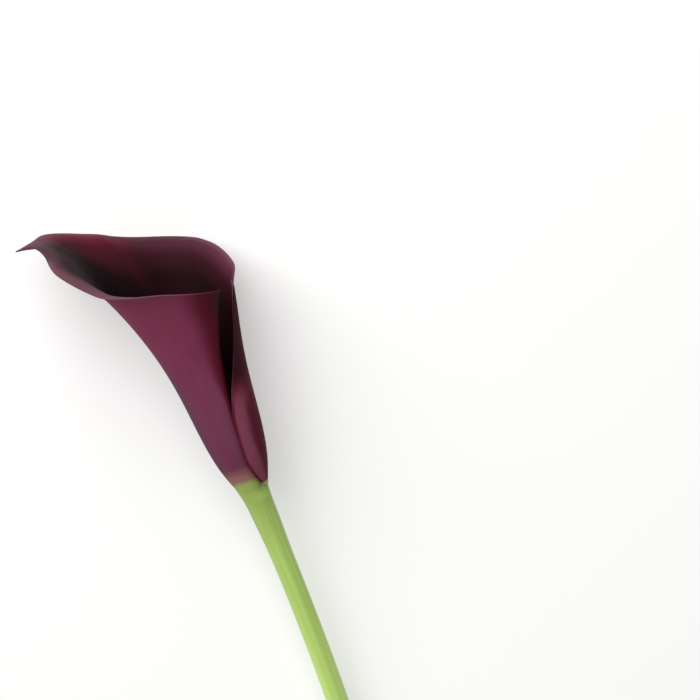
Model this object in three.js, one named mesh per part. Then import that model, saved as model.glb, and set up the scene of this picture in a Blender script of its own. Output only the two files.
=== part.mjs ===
// Calla lily flower, cut with its stalk and lying on a surface: one spathe wrapped into a
// funnel, the spadix standing inside it and the green stalk. Millimetres and degrees, +Z up.
//
// The head has a frame of its own: its axis runs from the foot of the spathe to the mouth,
// the azimuth is 0 on the upper side of the lying flower, 90 on the side of the pointed tip
// and 180 underneath. The overlap of the two margins is on the upper side, near -60.
import * as THREE from 'three';

// Lie of the flower
const headRise = 7;                              // the head's axis rises towards the mouth
const footAt = new THREE.Vector3(13.8, 60.9, 21.5); // middle of the spathe's foot
const settling = 0.5;                            // softness of the flat spot under the rim

// Spathe: the wrapped sheet
const sheet = 0.95;                              // thickness
const sheetCols = 72;
const sheetRows = 24;
const turnStep = 2.32;                           // growth of the radius in one full turn
const flarePower = 6;                            // how late the limb opens on its way up
const lipFrom = 0.88;                            // where the rolled lip starts
const tipAt = 0.472;                             // share of the margin where the point is
const spike = { length: 6.2, width: 0.0048, lift: -0.17 };
const beak = { length: 4.65, width: 0.0162, lift: 0.02 };
const curl = { from: 12, to: 24, spread: 36, depth: 5.6 };

// Margin of the sheet, from the foot of the tucked side round the rim to the foot of the
// overlapping side: share of the way, azimuth of the sheet at the foot, azimuth, radius and
// height of the margin, and how far its lip rolls out and down. No radius: it hugs the core.
const margin = [
  [0.000, -72, -74, 0, 1.5, 0, 0],
  [0.040, -66, -86, 0, 16, 0, 0],
  [0.100, -54, -86, 0, 38, 0, 0],
  [0.150, -42, -84, 0, 58, 0, 0],
  [0.200, -27, -73, 0, 72.6, 0, 0],
  [0.232, -14, -52, 24.4, 76.7, 0.3, 0.2],
  [0.263, 2, -20, 25.2, 81.2, 0.6, 0.5],
  [0.300, 24, 10, 27, 86.2, 1, 1.4],
  [0.334, 44, 34, 30.6, 89.2, 1.2, 3],
  [0.366, 62, 54, 33.3, 91.9, 1.2, 4.6],
  [0.408, 80, 72.3, 40.5, 103.5, 1.2, 5],
  [0.438, 92, 87.5, 40.4, 108.9, 1.2, 4.4],
  [0.472, 105, 105, 41.4, 111.8, 1.2, 3.6],
  [0.502, 117, 116.5, 45.4, 111.4, 1.2, 3.6],
  [0.547, 137, 142, 40.4, 103.6, 1.2, 3.6],
  [0.594, 158, 164, 37.9, 96.4, 1.2, 3.4],
  [0.640, 180, 189, 36.1, 90.8, 1.2, 3.2],
  [0.681, 201, 213, 31.5, 85.9, 1.2, 2.6],
  [0.726, 224, 241, 25.9, 79, 0.8, 1.4],
  [0.761, 242, 269, 19.8, 75.7, 0.4, 0.4],
  [0.788, 254, 292.5, 0, 75.4, 0, 0],
  [0.808, 262, 298, 0, 69.5, 0, 0],
  [0.837, 270, 304.5, 0, 59, 0, 0],
  [0.866, 276, 319, 0, 49, 0, 0],
  [0.897, 282, 337.5, 0, 38.5, 0, 0],
  [0.926, 287, 348.5, 0, 28, 0, 0],
  [0.961, 292, 352, 0, 14.5, 0, 0],
  [0.984, 295, 342, 0, 6.4, 0, 0],
  [1.000, 297, 322, 0, 1.4, 0, 0],
];

// Stalk: a cubic curve from the foot of the spathe to the cut end, and its radius on the way
const stalkTop = 0.25;                           // its top lies this far below the spathe's foot
const stalkPath = [[0.5, 0, -0.4], [4.8, -80, -9.8], [0.2, -158, -15.1], [-6.5, -235, -17.9]];
const stalkRadius = [[0, 5.8], [3, 5.35], [7, 4.98], [14, 4.7], [23, 4.3], [32, 4.1], [60, 4], [236, 3.9]];
const collar = { length: 5, radius: 5.44, widest: 6.2 }; // its top takes the shape of the spathe's foot
const stalkSides = 36;
const stalkRings = 32;
const stalkRidges = { count: 9, height: 0.07 };

// Spadix: a club on the top of the stalk, covered in florets
const spadixFoot = 0;                            // height of its foot in the head
const spadixProfile = [[0, 2.5], [4, 3], [12, 3.4], [28, 3.35], [36, 2.75], [40, 1.8], [41.6, 0.8], [42, 0]];
const spadixSides = 40;
const spadixRings = 42;
const floret = { around: 10, pitch: 4, height: 0.28 };

const rad = Math.PI / 180;

function smooth(x, from, to) {
  const t = Math.min(Math.max((x - from) / (to - from), 0), 1);
  return t * t * (3 - 2 * t);
}

// Curve through the points (x, y) that never overshoots them: a cubic between two points,
// with the harmonic mean of the neighbouring slopes at each.
function through(xs, ys) {
  const step = xs.slice(1).map((x, k) => x - xs[k]);
  const slope = step.map((h, k) => (ys[k + 1] - ys[k]) / h);
  const last = slope.length - 1;
  const tangent = xs.map((x, k) => {
    if (k === 0) return slope[0];
    if (k > last) return slope[last];
    if (slope[k - 1] * slope[k] <= 0) return 0;
    const before = 2 * step[k] + step[k - 1];
    const after = step[k] + 2 * step[k - 1];
    return (before + after) / (before / slope[k - 1] + after / slope[k]);
  });
  return (x) => {
    let k = 0;
    while (k < last && x > xs[k + 1]) k += 1;
    const h = step[k];
    const t = (x - xs[k]) / h;
    const left = (1 + 2 * t) * (1 - t) ** 2 * ys[k] + t * (1 - t) ** 2 * h * tangent[k];
    const right = t * t * (3 - 2 * t) * ys[k + 1] + t * t * (t - 1) * h * tangent[k + 1];
    return left + right;
  };
}

// Radius of the funnel's core at a height: a rounded foot, a slim tube, then a steady opening.
function coreRadius(h) {
  const eased = h * (h + 0.8) / (h + 3);
  return 4.98 + 6.67 * (1 - Math.exp(-eased / 13)) + 3.17 * Math.log(1 + Math.exp((h - 49.7) / 10));
}

const share = margin.map((row) => row[0]);
const column = (pick) => through(share, margin.map(pick));
const footAzimuth = column((row) => row[1]);
const rimAzimuth = column((row) => row[2]);
const rimHeight = column((row) => row[4] + row[6]);
const rollOut = column((row) => row[5]);
const rollDown = column((row) => row[6]);
const flare = column(([, , azimuth, radius, height, out, down]) => {
  const core = coreRadius(height + down) + turnStep * (azimuth - 105) / 360 + out;
  return radius > 0 ? radius - core : 0;
});

// Point of the head in the frame of the whole flower, from tip side, upper side and height.
function place(tip, upper, height) {
  const c = Math.cos(headRise * rad);
  const s = Math.sin(headRise * rad);
  return new THREE.Vector3(-tip, height * c - upper * s, height * s + upper * c).add(footAt);
}

// Middle of the sheet: u runs along the margin, v from the foot (0) to the margin (1).
function sheetPoint(u, v) {
  const azimuth = footAzimuth(u) + (rimAzimuth(u) - footAzimuth(u)) * v ** 0.9;
  const lip = Math.max((v - lipFrom) / (1 - lipFrom), 0);
  const height = rimHeight(u) * v - rollDown(u) * lip ** 3;
  let radius = coreRadius(rimHeight(u) * v) + turnStep * (azimuth - 105) / 360;
  radius += flare(u) * v ** flarePower + rollOut(u) * lip ** 2;

  // the tucked margin curls into the throat
  const curlFrom = curl.from + (curl.to - curl.from) * smooth(height, 32, 72);
  radius -= curl.depth * smooth(-azimuth, curlFrom, curlFrom + curl.spread) * smooth(height, 24, 54);

  // the beak of the rim and the thin spike on it
  const off = Math.abs(u - tipAt);
  const broad = Math.max((v - 0.8) / 0.2, 0) ** 2 * Math.exp(-((off / beak.width) ** 1.5));
  const thin = Math.max((v - 0.93) / 0.07, 0) ** 1.5 * Math.exp(-off / spike.width);
  radius += beak.length * broad + spike.length * thin;

  const point = place(
    radius * Math.sin(azimuth * rad),
    radius * Math.cos(azimuth * rad),
    height + beak.lift * beak.length * broad + spike.lift * spike.length * thin,
  );
  point.z = settle(point.z, sheet / 2);
  return point;
}

// Height above the surface, eased to the lowest height that the sheet can have.
function settle(z, lowest) {
  const over = z - lowest;
  if (over < -settling) return lowest;
  if (over > settling) return z;
  return lowest + (over + settling) ** 2 / (4 * settling);
}

// Unit vector that points out of the funnel at (u, v).
function sheetNormal(u, v) {
  const d = 5e-4;
  const along = sheetPoint(Math.min(u + d, 1), v).sub(sheetPoint(Math.max(u - d, 0), v));
  const up = sheetPoint(u, Math.min(v + d, 1)).sub(sheetPoint(u, Math.max(v - d, 0)));
  return up.cross(along).normalize();
}

// Closed geometry from points and triangles.
function solid(points, triangles) {
  const geometry = new THREE.BufferGeometry();
  geometry.setFromPoints(points);
  geometry.setIndex(triangles);
  geometry.computeVertexNormals();
  return geometry;
}

// The sheet as a solid: a grid of points on its outer face and one on its inner face, joined
// round the margin. Both faces are split along the same diagonals.
function spatheGeometry() {
  const outer = [];
  const inner = [];
  for (let i = 0; i <= sheetCols; i += 1) {
    for (let j = 0; j <= sheetRows; j += 1) {
      const u = columnShare(i);
      const v = 1 - (1 - j / sheetRows) ** 1.3;
      const middle = sheetPoint(u, v);
      const half = sheetNormal(u, v).multiplyScalar(sheet / 2);
      outer.push(middle.clone().add(half));
      inner.push(middle.clone().sub(half));
    }
  }
  const back = outer.length;
  const at = (i, j) => i * (sheetRows + 1) + j;
  const triangles = [];
  for (let i = 0; i < sheetCols; i += 1) {
    for (let j = 0; j < sheetRows; j += 1) {
      const [a, b, c, d] = [at(i, j), at(i, j + 1), at(i + 1, j + 1), at(i + 1, j)];
      triangles.push(a, b, c, a, c, d);
      triangles.push(back + a, back + c, back + b, back + a, back + d, back + c);
    }
  }
  const wall = (p, q) => triangles.push(p, q, back + q, p, back + q, back + p);
  for (let i = 0; i < sheetCols; i += 1) {
    wall(at(i, 0), at(i + 1, 0));
    wall(at(i + 1, sheetRows), at(i, sheetRows));
  }
  for (let j = 0; j < sheetRows; j += 1) {
    wall(at(0, j + 1), at(0, j));
    wall(at(sheetCols, j), at(sheetCols, j + 1));
  }
  return solid([...outer, ...inner], triangles);
}

// Shares of the grid's columns: even along the margin, four times denser at the tip.
function columnShare(i) {
  const before = Math.round(sheetCols * tipAt);
  const steps = i <= before ? before : sheetCols - before;
  const side = i <= before ? -tipAt : 1 - tipAt;
  const t = Math.abs(i - before) / steps;
  const near = 0.25;
  const reach = 0.3;
  const eased = t < reach ? near * t + (1 - near) * t * t / (2 * reach) : t - (1 - near) * reach / 2;
  return tipAt + side * eased / (1 - (1 - near) * reach / 2);
}

// A round solid from rings of points, with a middle point closing each end. The rings run so
// that their points turn to the left, seen from the far end.
function ringed(rings, first, last) {
  const sides = rings[0].length;
  const points = [...rings.flat(), first, last];
  const triangles = [];
  for (let k = 0; k < sides; k += 1) {
    const next = (k + 1) % sides;
    for (let i = 0; i < rings.length - 1; i += 1) {
      const [a, b, c, d] = [i * sides + k, i * sides + next, (i + 1) * sides + next, (i + 1) * sides + k];
      triangles.push(a, b, c, a, c, d);
    }
    const end = (rings.length - 1) * sides;
    triangles.push(points.length - 2, next, k);
    triangles.push(points.length - 1, end + k, end + next);
  }
  return solid(points, triangles);
}

// Radius of the stalk's top at an azimuth: the outside of the spathe's foot, which steps back by
// one turn under the overlap.
function collarRadius(azimuth) {
  const turn = azimuth + 360 * smooth(-azimuth, 45, 80);
  const outside = Math.min(collar.radius + turnStep * (turn - 105) / 360, collar.widest);
  const [x, , z] = stalkPath[0];
  return outside + x * Math.sin(azimuth * rad) - z * Math.cos(azimuth * rad);
}

// Stalk: rings square to the curve, its top shaped like the spathe's foot and square to the
// head's axis, flat where it touches the surface.
function stalkGeometry() {
  const curve = new THREE.CubicBezierCurve3(
    ...stalkPath.map(([x, y, z]) => new THREE.Vector3(x, y, z).add(footAt)),
  );
  const length = -stalkPath[3][1];
  const radiusAt = through(stalkRadius.map((p) => p[0]), stalkRadius.map((p) => p[1]));
  const rings = [];
  const middles = [];
  for (let i = 0; i <= stalkRings; i += 1) {
    const t = stalkTop / length + (1 - stalkTop / length) * (i / stalkRings) ** 1.5;
    const middle = curve.getPoint(t);
    const axis = new THREE.Vector3(0, -Math.cos(headRise * rad), -Math.sin(headRise * rad));
    const ahead = axis.lerp(curve.getTangent(t), smooth(length * t, 0, 2 * collar.length)).normalize();
    const side = new THREE.Vector3(0, 0, 1).cross(ahead).normalize();
    const up = ahead.clone().cross(side);
    const ring = [];
    for (let k = 0; k < stalkSides; k += 1) {
      const angle = 2 * Math.PI * k / stalkSides;
      const ridge = stalkRidges.height * Math.cos(stalkRidges.count * angle) * smooth(t, 0.01, 0.04);
      const azimuth = (angle / rad + 350) % 360 - 80;
      const shaped = (collarRadius(azimuth) - stalkRadius[0][1]) * (1 - smooth(length * t, 0, collar.length));
      const radius = radiusAt(length * t) + ridge + shaped;
      const point = middle.clone();
      point.addScaledVector(side, radius * Math.cos(angle)).addScaledVector(up, radius * Math.sin(angle));
      point.z = Math.max(point.z, 0);
      ring.push(point);
    }
    rings.push(ring);
    middles.push(middle);
  }
  return ringed(rings, middles[0], middles[stalkRings]);
}

// Spadix: the club's profile turned about the head's axis, with the florets as a relief of
// staggered bumps: height * cos(around * angle) * cos(2 pi * way / pitch).
function spadixGeometry() {
  const radiusAt = through(spadixProfile.map((p) => p[0]), spadixProfile.map((p) => p[1]));
  const length = spadixProfile[spadixProfile.length - 1][0];
  const rings = [];
  for (let i = 0; i <= spadixRings; i += 1) {
    const way = length * (1 - (1 - i / spadixRings) ** 1.25) * 0.985;
    const ring = [];
    for (let k = 0; k < spadixSides; k += 1) {
      const angle = 2 * Math.PI * k / spadixSides;
      const bump = Math.cos(floret.around * angle) * Math.cos(2 * Math.PI * way / floret.pitch);
      const fade = smooth(way, 0, 2) * smooth(length - way, 0.5, 5);
      const radius = radiusAt(way) + floret.height * bump * fade;
      ring.push(place(radius * Math.cos(angle), radius * Math.sin(angle), spadixFoot + way));
    }
    rings.push(ring);
  }
  return ringed(rings, place(0, 0, spadixFoot), place(0, 0, spadixFoot + length));
}

function piece(name, geometry, color, roughness) {
  const material = new THREE.MeshStandardMaterial({ color, roughness, metalness: 0 });
  const mesh = new THREE.Mesh(geometry, material);
  mesh.name = name;
  return mesh;
}

const flower = new THREE.Group();
flower.add(piece('spathe', spatheGeometry(), 0x5a2338, 0.5));
flower.add(piece('spadix', spadixGeometry(), 0xb99a4e, 0.7));
flower.add(piece('stalk', stalkGeometry(), 0x9dbb55, 0.45));

export default flower;
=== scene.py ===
import math

import bpy
import numpy as np
from mathutils import Matrix, Vector


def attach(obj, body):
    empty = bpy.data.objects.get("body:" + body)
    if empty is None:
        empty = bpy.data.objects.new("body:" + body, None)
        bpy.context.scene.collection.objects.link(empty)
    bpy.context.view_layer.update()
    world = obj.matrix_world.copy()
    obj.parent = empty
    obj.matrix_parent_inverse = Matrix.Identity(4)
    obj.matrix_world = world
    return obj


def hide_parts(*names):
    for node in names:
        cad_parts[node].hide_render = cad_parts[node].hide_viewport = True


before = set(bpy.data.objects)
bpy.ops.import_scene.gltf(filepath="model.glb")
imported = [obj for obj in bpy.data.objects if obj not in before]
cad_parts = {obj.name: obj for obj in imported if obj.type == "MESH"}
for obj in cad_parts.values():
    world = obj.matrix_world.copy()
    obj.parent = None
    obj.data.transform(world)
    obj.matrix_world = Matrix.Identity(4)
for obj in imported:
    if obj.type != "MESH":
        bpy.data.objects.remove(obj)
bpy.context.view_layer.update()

print("frame loaded with", ", ".join(sorted(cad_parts)))

# Shapes are worked out in millimetres and go into the meshes in metres. The head is the flower
# without its stalk. A place in it has a height along its axis and an azimuth round it in degrees,
# 0 on top and 90 on the tip's side.
head = dict(
    rise=math.radians(7),               # its axis rises towards the mouth
    foot=np.array([13.8, 60.9, 21.5]),  # middle of the spathe's foot
)


def smoothStep(x, low, high):
    # 0 at low, 1 at high, which may be the smaller one, and t * t * (3 - 2 t) between them
    t = np.clip((x - low) / (high - low), 0, 1)
    return t * t * (3 - 2 * t)


def throughPoints(x, xs, ys):
    # cubic between neighbouring points, each with the harmonic mean of the slopes beside it,
    # so the curve passes through every point and never overshoots
    step = np.diff(xs)
    slope = np.diff(ys) / step
    before = 2 * step[1:] + step[:-1]
    after = step[1:] + 2 * step[:-1]
    same = slope[:-1] * slope[1:] > 0
    lower, upper = np.where(same, slope[:-1], 1), np.where(same, slope[1:], 1)
    middle = np.where(same, (before + after) / (before / lower + after / upper), 0)
    tangent = np.concatenate([slope[:1], middle, slope[-1:]])
    k = np.clip(np.searchsorted(xs, x) - 1, 0, len(xs) - 2)
    t = (x - xs[k]) / step[k]
    left = (1 + 2 * t) * (1 - t) ** 2 * ys[k] + t * (1 - t) ** 2 * step[k] * tangent[k]
    right = t * t * (3 - 2 * t) * ys[k + 1] + t * t * (t - 1) * step[k] * tangent[k + 1]
    return left + right


def unitVectors(vectors):
    # each vector over its own length
    return vectors / np.linalg.norm(vectors, axis=-1, keepdims=True)


def toFlower(tip, upper, height):
    # the head's own axes, turned by its rise and set on the foot
    c, s = math.cos(head["rise"]), math.sin(head["rise"])
    return np.stack([-tip, height * c - upper * s, height * s + upper * c], -1) + head["foot"]


def loftFaces(rings, sides):
    # four-cornered faces between neighbouring rings that each close on themselves
    i, k = np.meshgrid(np.arange(rings - 1), np.arange(sides), indexing="ij")
    n = (k + 1) % sides
    corners = [i * sides + k, i * sides + n, (i + 1) * sides + n, (i + 1) * sides + k]
    return np.stack(corners, -1).reshape(-1, 4)


def fanFaces(ring, middle, flip):
    # three-cornered faces from a ring to its middle point
    fan = np.stack([np.roll(ring, -1), ring, np.full_like(ring, middle)], -1)
    return fan[:, ::-1] if flip else fan


def makePiece(name, points, faces, node, skins, attributes, pick=None):
    # points in millimetres become a smooth mesh in metres that stands for a node of the frame;
    # each attribute holds one number a point, and pick gives each face its skin
    mesh = bpy.data.meshes.new(name)
    mesh.from_pydata((points / 1000).tolist(), [], [f for part in faces for f in part.tolist()])
    mesh.shade_smooth()
    for key, values in attributes.items():
        mesh.attributes.new(key, "FLOAT", "POINT").data.foreach_set("value", values.astype(np.float32))
    for skin in skins:
        mesh.materials.append(skin)
    if pick is not None:
        mesh.polygons.foreach_set("material_index", pick.astype(np.int32))
    piece = bpy.data.objects.new(name, mesh)
    bpy.context.scene.collection.objects.link(piece)
    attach(piece, "root")
    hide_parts(node)
    print(name, "has", len(mesh.polygons), "faces")


def hexColor(code):
    # sRGB hex to linear, with full alpha
    value = np.array([int(code[k:k + 2], 16) for k in (1, 3, 5)]) / 255
    linear = np.where(value <= 0.04045, value / 12.92, ((value + 0.055) / 1.055) ** 2.4)
    return (*linear.tolist(), 1)


def addNode(tree, kind, inputs=None, **settings):
    # one node with its settings; an input is another node's output, a hex colour or a plain value
    node = tree.nodes.new("ShaderNode" + kind)
    for key, value in settings.items():
        setattr(node, key, value)
    for key, value in (inputs or {}).items():
        if isinstance(value, bpy.types.NodeSocket):
            tree.links.new(value, node.inputs[key])
        else:
            node.inputs[key].default_value = hexColor(value) if isinstance(value, str) else value
    return node


def newTree(name):
    # an empty material and its node tree
    material = bpy.data.materials.new(name)
    material.use_nodes = True
    material.node_tree.nodes.clear()
    return material, material.node_tree


def readSurface(tree, axes, others, patterns):
    # a piece's own attributes as node outputs, and a noise for each pattern, laid out over the
    # attributes named as axes, with its own number of cells per millimetre along each
    values = {}
    for name in (*axes, *others):
        values[name] = addNode(tree, "Attribute", attribute_name=name).outputs["Fac"]
    place = addNode(tree, "CombineXYZ", {k: values[name] for k, name in enumerate(axes)}).outputs[0]
    for name, (cells, detail) in patterns.items():
        laid = addNode(tree, "VectorMath", {0: place, 1: cells}, operation="MULTIPLY").outputs[0]
        noise = addNode(tree, "TexNoise", {"Vector": laid, "Scale": 1, "Detail": detail})
        values[name] = noise.outputs[0]
    return values


def layColors(tree, skin, layers):
    # colours laid over one another: each comes in with an eased step, up to its strength, while
    # its value goes from the first end of its span to the second
    for value, span, strength, color in layers:
        inputs = {0: value, 1: span[0], 2: span[1], 4: strength}
        share = addNode(tree, "MapRange", inputs, interpolation_type="SMOOTHSTEP").outputs[0]
        skin = addNode(tree, "Mix", {0: share, 6: skin, 7: color}, data_type="RGBA").outputs[2]
    return skin


spathe = dict(
    sheet=0.95,                        # thickness
    rimSheet=0.6, thinOver=9,          # share of it at the margin, and how far in it is whole
    rimRound=0.45,                     # how far in the margin is rounded off
    cols=300, tipSpan=0.3, tipFine=0.25,  # columns, closer near the tip
    rows=130, rimFine=1.6,             # rows, closer towards the margin
    slopeStep=4e-4,                    # step of u and v over which slopes are taken
    leastLean=0.15,                    # sine of the flattest angle counted at the margin
    tubeFoot=4.98, footCurve=(0.8, 3),  # radius at the foot, and heights that round it off
    swell=6.67, swellOver=13,          # growth into the slim tube, and the height that it takes
    opening=0.317, opensAt=49.7, opensOver=10,  # growth per height above, and how it sets in
    turnStep=2.32,                     # growth of the radius in one full turn
    swing=0.9,                         # how early on its way up the sheet turns to its margin
    flarePower=6,                      # how late the limb opens on its way up
    lipFrom=0.88,                      # where the rolled lip starts
    settling=0.5,                      # softness of the flat spot under the rim
    tipAt=0.472, tipAzimuth=105,       # the tip, as a share of the margin and round the head
    # its point and the wider beak under it: length, start on the way up, width as a share of the
    # margin, and how far each turns up for its length
    spike=6.2, spikeFrom=0.93, spikeWidth=0.0048, spikeLift=-0.17,
    beak=4.65, beakFrom=0.8, beakWidth=0.0146, beakRound=0.003, beakLift=0.02,
    # the tucked edge bends inwards from this far past the top, more so near the mouth
    curlDepth=5.6, curlFrom=12, curlTo=24, curlShift=(32, 72), curlSpread=36, curlRise=(24, 54),
    # share of the way round the margin, azimuth of the sheet at the foot, then of the margin
    # azimuth, radius and height, and how far its lip rolls out and down; radius 0 keeps the tube's
    margin=np.array([
        [0.000, -72, -74, 0, 1.5, 0, 0],
        [0.040, -66, -86, 0, 16, 0, 0],
        [0.100, -54, -86, 0, 38, 0, 0],
        [0.150, -42, -84, 0, 58, 0, 0],
        [0.200, -27, -73, 0, 72.6, 0, 0],
        [0.232, -14, -52, 24.4, 76.7, 0.3, 0.2],
        [0.263, 2, -20, 25.2, 81.2, 0.6, 0.5],
        [0.300, 24, 10, 27.0, 86.2, 1.0, 1.4],
        [0.334, 44, 34, 30.6, 89.2, 1.2, 3.8],
        [0.366, 62, 54, 33.3, 91.9, 1.2, 5.4],
        [0.408, 80, 72.3, 40.5, 103.5, 1.2, 5.0],
        [0.438, 92, 87.5, 40.4, 108.9, 1.2, 4.4],
        [0.472, 105, 105, 41.4, 111.8, 1.2, 3.6],
        [0.502, 117, 116.5, 45.4, 111.4, 1.2, 3.6],
        [0.547, 137, 142, 40.4, 103.6, 1.2, 3.6],
        [0.594, 158, 164, 37.9, 96.4, 1.2, 3.4],
        [0.640, 180, 189, 36.1, 90.8, 1.2, 3.2],
        [0.681, 201, 213, 31.5, 85.9, 1.2, 2.6],
        [0.726, 224, 241, 25.9, 79.0, 0.8, 1.4],
        [0.761, 242, 269, 19.8, 75.7, 0.4, 0.4],
        [0.788, 254, 292.5, 0, 75.4, 0, 0],
        [0.808, 262, 298, 0, 69.5, 0, 0],
        [0.837, 270, 304.5, 0, 59, 0, 0],
        [0.866, 276, 319, 0, 49, 0, 0],
        [0.897, 282, 337.5, 0, 38.5, 0, 0],
        [0.926, 287, 348.5, 0, 28, 0, 0],
        [0.961, 292, 352, 0, 14.5, 0, 0],
        [0.984, 295, 342, 0, 6.4, 0, 0],
        [1.000, 297, 322, 0, 1.4, 0, 0],
    ]),
    # what its colours follow, in millimetres, degrees of azimuth or shares of the margin
    length=380,                                  # of the margin laid out, for the veins
    layerTurn=(170, 245),                        # where the overlapping layer sets in
    green=3.1, greenSwing=1.8, greenAt=10,       # height of the green, and where it is highest
    layerGreen=1.6, layerSharp=8,                # on the layer it is low, with a shorter fade
    tuckedTo=0.264, tuckedSoft=0.018, tuckedRise=(12, 34),  # painted shade on the tucked edge, where it curls into the throat
    widerRise=(36, 50), wider=0.026, softer=0.05,           # which widens and softens higher up
    mouthRise=(64, 78), mouthWider=0.007,
    layerShare=(0.72, 0.79), layerRise=(28, 52),            # painted shade, too, on the layer's upper part,
    underTurn=(235, 275), underGap=(2, 11), under=0.5,      # fainter away from its edge
    glowShare=(0.82, 0.87), glowGap=(9, 3), glowRise=(46, 32),  # painted highlight beside that edge,
    seamGap=(1.8, 0.2), edgeShade=0.52,                          # and painted shade at the very edge
    highlightFrom=(0.29, 0.36), highlightTo=(0.437, 0.387),           # painted highlight on the fold of the near lip
    dullFrom=(0.41, 0.44), dullTo=(0.482, 0.462),           # duller next to the tip
    lipGap=(6, 1),                                          # how far both reach in
    greyFrom=(122, 152), greyTo=(300, 235), grey=0.7,       # in mm of the margin: greyer stretch with painted sheen and shade,
    soonerFrom=(180, 172), sooner=3,                        # near side of the lip, dark sooner, partly its own colour and partly painted shade
)


def coreRadius(h):
    # rounded foot, slim tube, then a steady opening: radius at the foot
    # + swell * (1 - e^(-eased height)) + opening * height above opensAt, with a soft start
    s = spathe
    eased = h * (h + s["footCurve"][0]) / (h + s["footCurve"][1])
    slim = s["tubeFoot"] + s["swell"] * (1 - np.exp(-eased / s["swellOver"]))
    above = s["opensOver"] * np.logaddexp(0, (h - s["opensAt"]) / s["opensOver"])
    return slim + s["opening"] * above


def sheetMiddle(u, v, s):
    # u along the margin, v from foot to margin: azimuth and height run to the margin's own, and
    # radius = tube + spiral + flare * v^6 + lip * q^2 - inward curl + beak + spike, while the lip
    # comes down by q^3, with q from 0 to 1 across the lip
    share, footTurn, rimTurn, rimRadius, top, out, down = s["margin"].T
    tube = coreRadius(top + down) + s["turnStep"] * (rimTurn - s["tipAzimuth"]) / 360 + out
    flare = np.where(rimRadius > 0, rimRadius - tube, 0)
    footAzimuth, rimAzimuth, rimHeight, rollOut, rollDown, limb = (
        throughPoints(u, share, values) for values in (footTurn, rimTurn, top + down, out, down, flare))
    azimuth = footAzimuth + (rimAzimuth - footAzimuth) * v ** s["swing"]
    q = np.clip((v - s["lipFrom"]) / (1 - s["lipFrom"]), 0, 1)
    rise = rimHeight * v - rollDown * q ** 3
    radius = coreRadius(rimHeight * v) + s["turnStep"] * (azimuth - s["tipAzimuth"]) / 360
    radius = radius + limb * v ** s["flarePower"] + rollOut * q ** 2
    start = s["curlFrom"] + (s["curlTo"] - s["curlFrom"]) * smoothStep(rise, *s["curlShift"])
    curl = smoothStep(-azimuth, start, start + s["curlSpread"]) * smoothStep(rise, *s["curlRise"])
    # the tip is a slim spike on a wider, rounder beak: up the sheet they grow as share^1.5 and
    # share^2, and along the margin they fade as e^-(off / width) and e^-(off / width)^1.5
    off = np.abs(u - s["tipAt"])
    spikeUp = np.clip((v - s["spikeFrom"]) / (1 - s["spikeFrom"]), 0, 1) ** 1.5
    spike = s["spike"] * spikeUp * np.exp(-off / s["spikeWidth"])
    rounded = np.sqrt(off ** 2 + s["beakRound"] ** 2) - s["beakRound"]
    beakUp = np.clip((v - s["beakFrom"]) / (1 - s["beakFrom"]), 0, 1) ** 2
    beak = s["beak"] * beakUp * np.exp(-(rounded / s["beakWidth"]) ** 1.5)
    radius = radius - s["curlDepth"] * curl + beak + spike
    height = rise + s["beakLift"] * beak + s["spikeLift"] * spike
    turn = np.radians(azimuth)
    points = toFlower(radius * np.sin(turn), radius * np.cos(turn), height)
    # what would go below the surface is eased on to it
    over = points[..., 2] - s["sheet"] / 2
    eased = np.where(over < -s["settling"], 0, (over + s["settling"]) ** 2 / (4 * s["settling"]))
    points[..., 2] = s["sheet"] / 2 + np.where(over > s["settling"], over, eased)
    return points, azimuth, rise


def sheetMarks(s, u, azimuth, rise, gap):
    # what the petal's colours follow, painted shade and painted highlights among them, each a number
    # at every point: a product of eased steps along the margin, up the sheet, round it and away from
    # its edge
    layer = smoothStep(azimuth, *s["layerTurn"])
    green = s["green"] + s["greenSwing"] * np.cos(np.radians(azimuth - s["greenAt"]))
    green = green + (s["layerGreen"] - green) * layer
    wide, mouth = smoothStep(rise, *s["widerRise"]), smoothStep(rise, *s["mouthRise"])
    inside = s["tuckedTo"] + s["wider"] * wide + s["mouthWider"] * mouth - u
    # painted shade where the tucked edge curls into the throat
    tucked = smoothStep(inside, 0, s["tuckedSoft"] + s["softer"] * wide) * smoothStep(rise, *s["tuckedRise"])
    # painted shade on the overlapping layer: its upper part, and fainter on its far side
    upper = smoothStep(u, *s["layerShare"]) * smoothStep(rise, *s["layerRise"])
    under = s["under"] * smoothStep(azimuth, *s["underTurn"]) * smoothStep(gap, *s["underGap"])
    lower = smoothStep(u, *s["glowShare"]) * smoothStep(rise, *s["glowRise"])
    # painted shade along the overlapping layer's very edge
    edgeShade = lower * smoothStep(gap, *s["seamGap"])
    lip = smoothStep(gap, *s["lipGap"])
    # painted highlight where the near lip's fold faces the light
    highlight = smoothStep(u, *s["highlightFrom"]) * smoothStep(u, *s["highlightTo"]) * lip
    dull = smoothStep(u, *s["dullFrom"]) * smoothStep(u, *s["dullTo"]) * lip
    across = u * s["length"]
    return dict(
        across=across, rise=rise, gap=gap, azimuth=azimuth, tucked=tucked,
        level=(rise - green) * (1 + (s["layerSharp"] - 1) * layer),    # how far above the green
        shadow=np.maximum(np.maximum(upper, under), s["edgeShade"] * edgeShade),
        # painted highlight beside the overlapping layer's edge
        glow=lower * smoothStep(gap, *s["glowGap"]) * (1 - edgeShade),
        highlightMinusDull=highlight - dull,
        sideSheenShade=s["grey"] * smoothStep(across, *s["greyFrom"]) * smoothStep(across, *s["greyTo"]),
        fall=gap + s["sooner"] * smoothStep(across, *s["soonerFrom"]),
    )


def bothSides(values):
    # a grid of the outer face carried over the margin to the inner one, ring by ring
    return np.concatenate([values, values[:, -2::-1]], 1)


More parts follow.
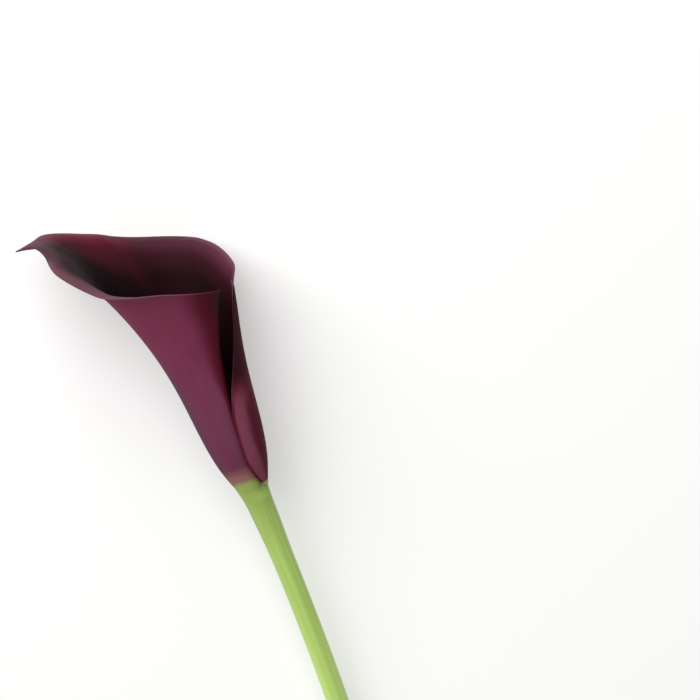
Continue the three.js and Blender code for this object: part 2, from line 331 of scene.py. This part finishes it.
def spatheSurface(s):
    # a grid on each face of the sheet, half the thickness from its middle along the normal; the
    # half thickness closes to nothing at the margin as a quarter of an ellipse
    t = np.linspace(-1, 1, s["cols"] + 1)
    far = np.abs(t)
    lag = s["tipSpan"] * (1 - s["tipFine"]) / 2
    near = s["tipFine"] * far + (1 - s["tipFine"]) / (2 * s["tipSpan"]) * far ** 2
    eased = np.sign(t) * np.where(far < s["tipSpan"], near, far - lag) / (1 - lag)
    share = s["tipAt"] + eased * np.where(t < 0, s["tipAt"], 1 - s["tipAt"])
    climb = 1 - (1 - np.linspace(0, 1, s["rows"] + 1)) ** s["rimFine"]
    u, v = np.meshgrid(share, climb, indexing="ij")
    middle, azimuth, rise = sheetMiddle(u, v, s)
    d = s["slopeStep"]
    along = sheetMiddle(np.minimum(u + d, 1), v, s)[0] - sheetMiddle(np.maximum(u - d, 0), v, s)[0]
    upward = sheetMiddle(u, np.minimum(v + d, 1), s)[0] - sheetMiddle(u, np.maximum(v - d, 0), s)[0]
    normal = unitVectors(np.cross(upward, along))
    # distance from the margin: the way up a column to it, times the sine of the angle between them
    stride = np.linalg.norm(np.diff(middle, axis=1), axis=-1)
    back = np.concatenate([np.cumsum(stride[:, ::-1], 1)[:, ::-1], np.zeros_like(stride[:, :1])], 1)
    lean = np.linalg.norm(np.cross(unitVectors(upward), unitVectors(along[:, -1:])), axis=-1)
    gap = back * np.clip(lean, s["leastLean"], 1)
    thin = s["rimSheet"] + (1 - s["rimSheet"]) * smoothStep(gap, 0, s["thinOver"])
    half = s["sheet"] / 2 * thin * np.sqrt(1 - (1 - np.clip(gap / s["rimRound"], 0, 1)) ** 2)
    outer = middle + normal * half[..., None]
    inner = middle - normal * half[..., None]
    ring = np.concatenate([outer, inner[:, -2::-1]], 1)
    rings, sides = ring.shape[:2]
    o = np.arange(s["rows"])
    n = sides - 1 - o
    side = np.stack([o, n, np.roll(n, -1), o + 1], -1)[:-1]
    close = np.array([[o[-1], n[-1], s["rows"]]])
    last = (rings - 1) * sides
    # the rings close on themselves at the foot; the first and last are filled between the faces
    faces = [loftFaces(rings, sides), side, close, last + side[:, ::-1], last + close[:, ::-1]]
    k = np.arange(sides)
    lining = np.tile((k >= s["rows"]) & (k < 2 * s["rows"]), rings - 1)
    pick = np.concatenate([lining, np.zeros(2 * s["rows"], bool)])
    marks = sheetMarks(s, u, azimuth, rise, gap)
    attributes = {name: bothSides(values).ravel() for name, values in marks.items()}
    return ring.reshape(-1, 3), faces, attributes, pick


# cells per millimetre along the margin and up the petal, then the noise's detail
petalGrain = dict(
    veins=((0.4, 0.012, 0), 2),      # 2 to 4 mm apart at the rim
    threads=((2.2, 0.02, 0), 1),     # and finer ones between them
)


def footLayers(tree, at):
    # plum, then a pinkish fade, then the green of the stalk, a little streaky
    wobble = addNode(tree, "MapRange", {0: at["veins"], 1: 0.3, 2: 0.7, 3: -0.4, 4: 0.4}).outputs[0]
    level = addNode(tree, "Math", {0: at["level"], 1: wobble}, operation="ADD").outputs[0]
    return [(level, (7, 0.6), 1, "#9a6c66"), (level, (1, -1.8), 1, "#a0b562")]


def finishPetal(tree, at, skin, strength, roughness, specular):
    # the shader of both faces, on which veins and threads stand out by up to 0.15 mm
    relief = addNode(tree, "Math", {0: at["veins"], 1: at["threads"]}, operation="ADD").outputs[0]
    bump = addNode(tree, "Bump", {"Strength": strength, "Distance": 0.00015, "Height": relief})
    shader = addNode(tree, "BsdfPrincipled", {
        "Base Color": skin, "Roughness": roughness, "IOR": 1.42, "Specular IOR Level": specular,
        "Normal": bump.outputs[0]})
    addNode(tree, "OutputMaterial", {0: shader.outputs[0]})


def outerSkin():
    # fresh petal skin, satin and a little waxy: saturated plum, redder towards the rim, with soft
    # veins from foot to rim, painted shade on the tucked margin and the overlapping layer, and
    # painted highlights and sheen on the lip's fold, beside the layer's edge and along the side
    material, tree = newTree("fresh plum petal skin")
    others = ("level", "tucked", "shadow", "glow", "highlightMinusDull", "sideSheenShade")
    patches = ((0.045, 0.045, 0), 2)    # about 22 mm across
    at = readSurface(tree, ("across", "rise"), others, dict(petalGrain, patches=patches))
    # the plum's slight greyness, here and towards the rim, is partly a painted sheen
    skin = layColors(tree, "#6e3b50", [
        (at["rise"], (15, 75), 1, "#803852"),
        (at["rise"], (14, 3), 0.4, "#7c4440"),
        (at["rise"], (64, 40), at["sideSheenShade"], "#553e4b"),    # painted grazing sheen and shade, from the tip's side to the underside
        (at["patches"], (0.4, 0.66), 0.4, "#722f50"),
        (at["veins"], (0.5, 0.75), 0.1, "#4a1529"),
        (at["threads"], (0.5, 0.8), 0.14, "#7b2c49"),
        (at["highlightMinusDull"], (0, 1), 0.75, "#7c5361"),           # painted highlight on the fold of the near lip
        (at["shadow"], (0, 0.5), 1, "#5c1e30"),              # overlapping layer
        (at["shadow"], (0.3, 0.95), 1, "#38121c"),
        # painted highlight beside the overlapping layer's edge
        (at["glow"], (0, 1), 0.8, "#844457"),
        # painted shade on the tucked edge, darkest at its margin
        (at["tucked"], (0, 0.5), 1, "#5c1a2b"),
        (at["tucked"], (0.45, 1), 1, "#200c12"),
        *footLayers(tree, at)])
    finishPetal(tree, at, skin, strength=0.15, roughness=0.55, specular=0.025)
    return material


def innerSkin():
    # the throat's side of the petal, more velvety: crimson plum on the lip, greyish there with a
    # painted sheen, then dark wine and nearly black further down, partly its own colour and partly
    # painted shade of the deep throat
    material, tree = newTree("dark velvety petal lining")
    others = ("gap", "azimuth", "level", "highlightMinusDull", "fall")
    at = readSurface(tree, ("across", "rise"), others, petalGrain)
    # crimson beside the tip, with a greyish painted sheen at the rim and on the near lip; further in it
    # darkens, partly its own colour and partly painted shade
    near = (200, 182)
    lip = layColors(tree, "#673647", [
        (at["gap"], (2, 5.5), 1, "#68202f"),
        (at["across"], near, 1, "#5f3f49")])
    deep = layColors(tree, "#431620", [(at["across"], near, 1, "#2c1c20")])
    warm = layColors(tree, lip, [
        (at["fall"], (2, 11), 1, deep),
        (at["gap"], (11, 24), 1, "#1a0b0f")])
    # greyer and sooner dark along the rest of the mouth, partly its own colour and partly painted shade,
    # with a painted plum sheen on its right side
    cool = layColors(tree, "#4a2531", [
        (at["azimuth"], (170, 240), 1, "#55283a"),
        (at["gap"], (1.5, 9), 1, "#301219"),
        (at["gap"], (8, 17), 1, "#1b080c")])
    skin = layColors(tree, warm, [
        (at["across"], (205, 228), 1, cool),
        # nearly black deep in the throat, partly its own colour and partly painted shade
        (at["gap"], (22, 38), 1, "#0e0507"),
        (at["veins"], (0.48, 0.75), 0.15, "#1a080d"),
        (at["gap"], (2.5, 0.5), 0.6, "#6a4854"),             # painted highlight along the rim
        # painted highlight on the near lip's fold, then duller next to the tip
        (at["highlightMinusDull"], (0, 1), 0.85, "#604049"),
        (at["highlightMinusDull"], (0, -1), 0.8, "#3d2c33"),
        *footLayers(tree, at)])
    finishPetal(tree, at, skin, strength=0.12, roughness=0.6, specular=0.035)
    return material


points, faces, attributes, pick = spatheSurface(spathe)
makePiece("spatheSheet", points, faces, "spathe", [outerSkin(), innerSkin()], attributes, pick)

stalk = dict(
    # corners of the cubic curve of its middle, from the spathe's foot
    path=np.array([[0.5, 0, -0.4], [4.8, -80, -9.8], [0.2, -158, -15.1], [-6.5, -235, -17.9]]),
    # way down the stalk and radius there
    radius=np.array([[0, 5.8], [3, 5.35], [7, 4.98], [14, 4.7], [23, 4.3], [32, 4.1], [60, 4], [236, 3.9]]),
    sides=90, rings=330, topFine=1.25,    # rings stand closer towards the top
    ridges=9, ridgeHeight=0.07, ridgeFrom=(0.01, 0.04),
    lift=0.02,                # it stays this far above the surface
    collar=5.0,               # length over which its top takes the shape of the spathe's foot
    footRadius=5.5,           # outside of the spathe's foot on the tip's side
    widest=6.2,               # its top stays inside the overlapping layer
    firstAzimuth=-80, turnOver=(-45, -80),  # beside the overlap the spiral goes a turn further
    coverRise=np.array([1.2, 0.9, 0.6, 0.3]),          # rings that run up over the sheet's foot,
    coverOver=np.array([-0.1, -0.015, 0.005, 0.005]),  # and how far they stand out from it
    coverFrom=(-50, -40), coverTo=(220, 200), coverTuck=(0.2, 0.3),  # elsewhere they turn inwards
    cutRings=(0.985, 0.94, 0.8, 0.55, 0.28),           # shares of the radius at the cut end
    fibreFrom=(1, 14), fibres=0.3,                     # where the fibres start to show
)


def stalkSurface(s):
    # rings square to a cubic curve, radius = profile + shallow ridges, flat where it touches the
    # surface; the top takes the spiral of the spathe's foot, and smaller rings close the cut end
    t = np.linspace(0, 1, s["rings"] + 1) ** s["topFine"]
    a, b, c, d = s["path"] + head["foot"]
    w = t[:, None]
    middle = (1 - w) ** 3 * a + 3 * (1 - w) ** 2 * w * b + 3 * (1 - w) * w * w * c + w ** 3 * d
    ahead = unitVectors((1 - w) ** 2 * (b - a) + 2 * (1 - w) * w * (c - b) + w * w * (d - c))
    length = -s["path"][3, 1]
    axis = np.array([0, -math.cos(head["rise"]), -math.sin(head["rise"])])
    ahead = unitVectors(axis + (ahead - axis) * smoothStep(length * w, 0, 2 * s["collar"]))
    # the rings over the sheet's foot, and those of the cut
    extra, cover = len(s["cutRings"]), len(s["coverRise"])
    t = np.concatenate([np.zeros(cover), t, np.ones(extra)])
    start = middle[:1] - s["coverRise"][:, None] * ahead[:1]
    middle = np.concatenate([start, middle, np.repeat(middle[-1:], extra, 0)])
    ahead = np.concatenate([np.repeat(ahead[:1], cover, 0), ahead, np.repeat(ahead[-1:], extra, 0)])
    scale = np.concatenate([np.ones(cover + s["rings"] + 1), s["cutRings"]])[:, None]
    side = unitVectors(np.cross([0, 0, 1], ahead))
    up = np.cross(ahead, side)
    angle = 2 * np.pi * np.arange(s["sides"]) / s["sides"]
    azimuth = (np.degrees(angle) - 90 - s["firstAzimuth"]) % 360 + s["firstAzimuth"]  # as in the head
    turn = azimuth + 360 * smoothStep(azimuth, *s["turnOver"])
    spiral = s["footRadius"] + spathe["turnStep"] * (turn - spathe["tipAzimuth"]) / 360
    way = length * t[:, None]
    profile = throughPoints(way, s["radius"][:, 0], s["radius"][:, 1])
    fade = 1 - smoothStep(way, 0, s["collar"])
    radius = profile + (np.minimum(spiral, s["widest"]) - s["radius"][0, 1]) * fade
    # the first rings follow the sheet's foot, and turn inwards beside the overlap
    follow = (smoothStep(azimuth, *s["coverFrom"]) * smoothStep(azimuth, *s["coverTo"]))[None]
    grown = (coreRadius(s["coverRise"]) - coreRadius(0) + s["coverOver"])[:, None]
    tuck = (s["coverTuck"][0] + s["coverTuck"][1] * s["coverRise"])[:, None]
    radius[:cover] += grown * follow - tuck * (1 - follow)
    ridge = s["ridgeHeight"] * np.cos(s["ridges"] * angle) * smoothStep(t, *s["ridgeFrom"])[:, None]
    reach = (radius + ridge) * scale
    # the spiral is centred on the head's axis, which the curve leaves a little to one side
    across = reach * np.cos(angle) - fade * s["path"][0, 0]
    over = reach * np.sin(angle) - fade * s["path"][0, 2] * math.cos(head["rise"])
    points = middle[:, None] + side[:, None] * across[..., None] + up[:, None] * over[..., None]
    points[..., 2] = np.maximum(points[..., 2], s["lift"])
    rings = len(t)
    cut = np.where(np.arange(rings)[:, None] > rings - extra - 1, 1 - scale, 0)
    fibreShare = s["fibres"] * smoothStep(way, *s["fibreFrom"])
    # each grid of numbers, and what the middle points of both ends have
    grids = dict(across=(across, 0, 0), over=(over, 0, 0), way=(way, 0, length),
                 cut=(cut, 0, 1), fibreShare=(fibreShare, 0, s["fibres"]))
    attributes = {name: np.append(np.broadcast_to(values, reach.shape).ravel(), ends)
                  for name, (values, *ends) in grids.items()}
    points = np.concatenate([points.reshape(-1, 3), middle[:1], middle[-1:]])
    first = np.arange(s["sides"])
    faces = [loftFaces(rings, s["sides"]), fanFaces(first, len(points) - 2, False),
             fanFaces(first + (rings - 1) * s["sides"], len(points) - 1, True)]
    return points, faces, attributes


def stalkSkin():
    # fresh flower stalk, smooth and slightly waxy: yellow-green, darker towards the flower, with
    # fine lengthwise fibres, and pale juicy tissue at the cut
    material, tree = newTree("fresh green stalk skin")
    patterns = dict(
        streaks=((0.3, 0.3, 0.006), 2),     # about 3 mm wide
        fibres=((1.6, 1.6, 0.02), 2),       # about 0.6 mm wide, as fine as the render shows
    )
    at = readSurface(tree, ("across", "over", "way"), ("cut", "fibreShare"), patterns)
    skin = layColors(tree, "#97ad58", [
        (at["way"], (0, 30), 1, "#abc968"),
        (at["way"], (25, 90), 1, "#bedb79"),
        (at["streaks"], (0.4, 0.7), 0.35, "#8fae50"),
        (at["fibres"], (0.45, 0.75), at["fibreShare"], "#c3da86"),
        (at["cut"], (0.03, 0.12), 1, "#cfdc9f")])
    bump = addNode(tree, "Bump", {"Strength": 0.3, "Distance": 0.00015, "Height": at["fibres"]})
    shader = addNode(tree, "BsdfPrincipled", {
        "Base Color": skin, "Roughness": 0.42, "IOR": 1.42, "Specular IOR Level": 0.4,
        "Normal": bump.outputs[0]})
    addNode(tree, "OutputMaterial", {0: shader.outputs[0]})
    return material


points, faces, attributes = stalkSurface(stalk)
makePiece("flowerStalk", points, faces, "stalk", [stalkSkin()], attributes)

spadix = dict(
    # way up the club and radius there
    profile=np.array([[0, 2.5], [4, 3], [12, 3.4], [28, 3.35], [36, 2.75], [40, 1.8], [41.6, 0.8], [42, 0]]),
    sides=132, rings=240, endFine=1.2, lastRing=0.992,
    around=22, pitch=1.9,      # florets in a turn, and from row to row
    bumpHeight=0.22, bumpPower=0.6, bumpFrom=(0, 2), bumpTo=(0.5, 5),
)


def spadixSurface(s):
    # the club's profile turned about the head's axis; each floret is a low dome of the staggered
    # pattern cos(around * angle / 2) * cos(pi * way / pitch), without its sign
    total = s["profile"][-1, 0]
    way = total * (1 - (1 - np.linspace(0, 1, s["rings"] + 1)) ** s["endFine"]) * s["lastRing"]
    angle = 2 * np.pi * np.arange(s["sides"]) / s["sides"]
    wave = np.cos(s["around"] / 2 * angle)[None] * np.cos(np.pi * way / s["pitch"])[:, None]
    dome = np.abs(wave) ** s["bumpPower"]
    fade = (smoothStep(way, *s["bumpFrom"]) * smoothStep(total - way, *s["bumpTo"]))[:, None]
    smooth = throughPoints(way, s["profile"][:, 0], s["profile"][:, 1])[:, None]
    radius = smooth + s["bumpHeight"] * (dome * 2 - 1) * fade
    height = np.broadcast_to(way[:, None], radius.shape)
    points = toFlower(radius * np.cos(angle), radius * np.sin(angle), height).reshape(-1, 3)
    points = np.concatenate([points, toFlower(np.zeros(2), np.zeros(2), np.array([0, total]))])
    raised = np.append(dome * fade + 0.5 * (1 - fade), [0.5, 0.5])
    first = np.arange(s["sides"])
    faces = [loftFaces(len(way), s["sides"]), fanFaces(first, len(points) - 2, False),
             fanFaces(first + (len(way) - 1) * s["sides"], len(points) - 1, True)]
    return points, faces, dict(raised=raised)


def spadixSkin():
    # packed florets, matt and mealy with pollen: ochre tops over brown gaps
    material, tree = newTree("ochre packed florets")
    raised = addNode(tree, "Attribute", attribute_name="raised").outputs["Fac"]
    place = addNode(tree, "TexCoord").outputs["Object"]
    mottle = addNode(tree, "TexNoise", {"Vector": place, "Scale": 900, "Detail": 2}).outputs[0]  # 1.1 mm
    skin = addNode(tree, "Mix", {0: mottle, 6: "#b98f3c", 7: "#dcbd6e"}, data_type="RGBA").outputs[2]
    skin = layColors(tree, skin, [(raised, (0.75, 0.25), 1, "#6a4520")])
    bump = addNode(tree, "Bump", {"Strength": 0.3, "Distance": 0.0001, "Height": mottle})
    shader = addNode(tree, "BsdfPrincipled", {
        "Base Color": skin, "Roughness": 0.75, "Sheen Weight": 0.2, "Normal": bump.outputs[0]})
    addNode(tree, "OutputMaterial", {0: shader.outputs[0]})
    return material


points, faces, attributes = spadixSurface(spadix)
makePiece("floretSpadix", points, faces, "spadix", [spadixSkin()], attributes)

# camera, looking down on the lying flower, 15 degrees over the head's axis towards the mouth
view = dict(
    lean=math.radians(8),      # from straight down, towards the mouth's side
    roll=math.radians(20.3),   # the head's axis leans left in the picture
    picture=700,               # its side in pixels
    perPixel=0.367,            # millimetres at the foot of the spathe
    footPixel=(251.5, 487.5),  # where the foot of the spathe is in the picture
    distance=2.0, clipEnd=20,  # metres
    sensor=36,
)
towards = np.array([0, math.sin(view["lean"]), math.cos(view["lean"])])
level = np.array([0, math.cos(view["lean"]), -math.sin(view["lean"])])
right = math.cos(view["roll"]) * np.array([1, 0, 0]) - math.sin(view["roll"]) * level
up = math.sin(view["roll"]) * np.array([1, 0, 0]) + math.cos(view["roll"]) * level
offset = (view["picture"] / 2 - view["footPixel"][0]) * right
offset = offset + (view["footPixel"][1] - view["picture"] / 2) * up
target = (head["foot"] + offset * view["perPixel"]) / 1000
camera = bpy.data.objects.new("camera", bpy.data.cameras.new("camera"))
bpy.context.scene.collection.objects.link(camera)
camera.data.sensor_width = view["sensor"]
camera.data.lens = view["sensor"] * view["distance"] / (view["picture"] * view["perPixel"] / 1000)
facing = Matrix(np.stack([right, up, towards], 1).tolist()).to_4x4()
camera.matrix_world = Matrix.Translation(Vector(target + towards * view["distance"])) @ facing
camera.data.clip_end = view["clipEnd"]
bpy.context.scene.camera = camera
print("camera set, lens", round(camera.data.lens), "mm")

# floor: matt white background paper with no grain that shows, lit a little from within, which
# keeps the shadow beside the flower light
paper = dict(half=5, below=0.0002, color="#cfcfce", glow="#fefefd", strength=0.34)
floorMesh = bpy.data.meshes.new("floor")
corners = np.array([(-1, -1, 0), (1, -1, 0), (1, 1, 0), (-1, 1, 0)]) * paper["half"] - (0, 0, paper["below"])
floorMesh.from_pydata(corners.tolist(), [], [(0, 1, 2, 3)])
paperSkin, paperTree = newTree("white background paper")
paperShader = addNode(paperTree, "BsdfPrincipled", {
    "Base Color": paper["color"], "Roughness": 0.9,
    "Emission Color": paper["glow"], "Emission Strength": paper["strength"]})
addNode(paperTree, "OutputMaterial", {0: paperShader.outputs[0]})
floorMesh.materials.append(paperSkin)
floor = bpy.data.objects.new("floor", floorMesh)
bpy.context.scene.collection.objects.link(floor)

# one soft lamp over the picture's upper left, and a softly lit white room
light = dict(
    place=(-0.8, 0.9, 1.5),    # metres from the flower's head, to the camera's right, up and near
    size=2.0, watts=55,
    room=0.3,
)
lamp = bpy.data.objects.new("keyLight", bpy.data.lights.new("keyLight", "AREA"))
bpy.context.scene.collection.objects.link(lamp)
lamp.data.size = light["size"]
lamp.data.energy = light["watts"]
lamp.visible_camera = False
where = light["place"][0] * right + light["place"][1] * up + light["place"][2] * towards
lamp.location = Vector(head["foot"] / 1000 + where)
lamp.rotation_euler = Vector(where).to_track_quat("Z", "Y").to_euler()
world = bpy.data.worlds.new("soft white room")
world.use_nodes = True
world.node_tree.nodes["Background"].inputs[0].default_value = (1, 1, 1, 1)
world.node_tree.nodes["Background"].inputs[1].default_value = light["room"]
bpy.context.scene.world = world
bpy.context.scene.view_settings.view_transform = "Standard"  # keeps the plum and the white as they are
print("light and floor set")
